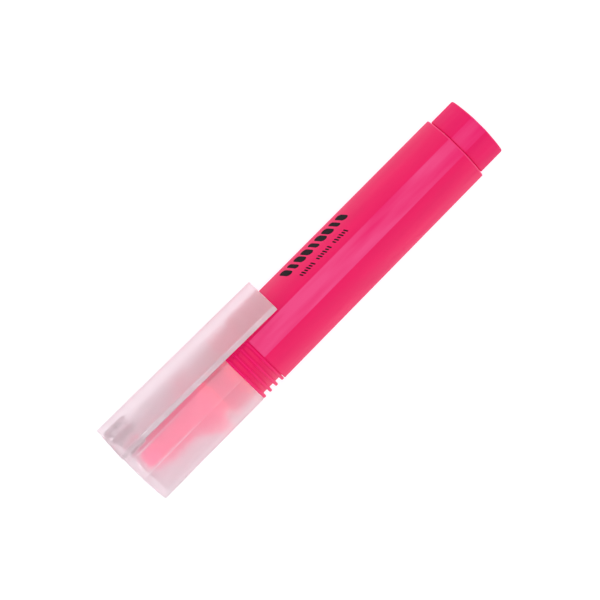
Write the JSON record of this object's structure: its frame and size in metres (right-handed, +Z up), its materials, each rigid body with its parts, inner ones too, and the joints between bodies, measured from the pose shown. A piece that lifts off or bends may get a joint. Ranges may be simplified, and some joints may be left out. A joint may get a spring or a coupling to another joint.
{
  "type": "twist-up gel highlighter",
  "caption": "Triangular twist-up highlighter with a frosted clip cap, finned grip and a turning end knob that winds a gel stick in and out.",
  "frame": {"origin": "middle of the footprint on the surface that the capped pen lies on", "axes": "+X along the pen from the cap's closed end to the knob; +Z up, through the narrow flat opposite the bowed face it lies on; the clip is on the +Y side"},
  "size_m": [0.124, 0.0248, 0.0221],
  "materials": {
    "frosted_cap": "frosted translucent moulded plastic, fine satin surface",
    "pink_body": "fluorescent pink moulded plastic, satin gloss",
    "pink_knob": "fluorescent pink moulded plastic, satin gloss",
    "gel": "fluorescent pink solid gel, soft waxy sheen",
    "white_mechanism": "natural white acetal, satin",
    "black_rubber": "matt black nitrile rubber",
    "black_print": "black pad-printed ink"
  },
  "bodies": {
    "barrel": {"barrel": "pink_body", "grip_collar": "pink_body", "nose_cone": "pink_body", "rear_bushing": "white_mechanism"},
    "cap": {"cap": "frosted_cap"},
    "knob": {"knob": "pink_knob", "lead_screw": "white_mechanism", "friction_ring": "black_rubber"},
    "carrier": {"follower": "white_mechanism", "stick_holder": "white_mechanism", "gel_stick": "gel"}
  },
  "joints": [
    {"name": "cap_pull", "type": "slide", "parent": "barrel", "child": "cap", "axis": [-1, 0, 0], "range_m": [0, 0.06]},
    {"name": "knob_turn", "type": "hinge", "parent": "barrel", "child": "knob", "pos_m": [0.058, -0.00218, 0.00869], "axis": [1, 0, 0], "range_deg": [0, 480]},
    {"name": "stick_travel", "type": "slide", "parent": "barrel", "child": "carrier", "axis": [1, 0, 0], "range_m": [0, 0.008]}
  ],
  "couplings": [
    {"joint": "knob_turn", "follows": "stick_travel", "rad_per_m": 1047.2}
  ]
}
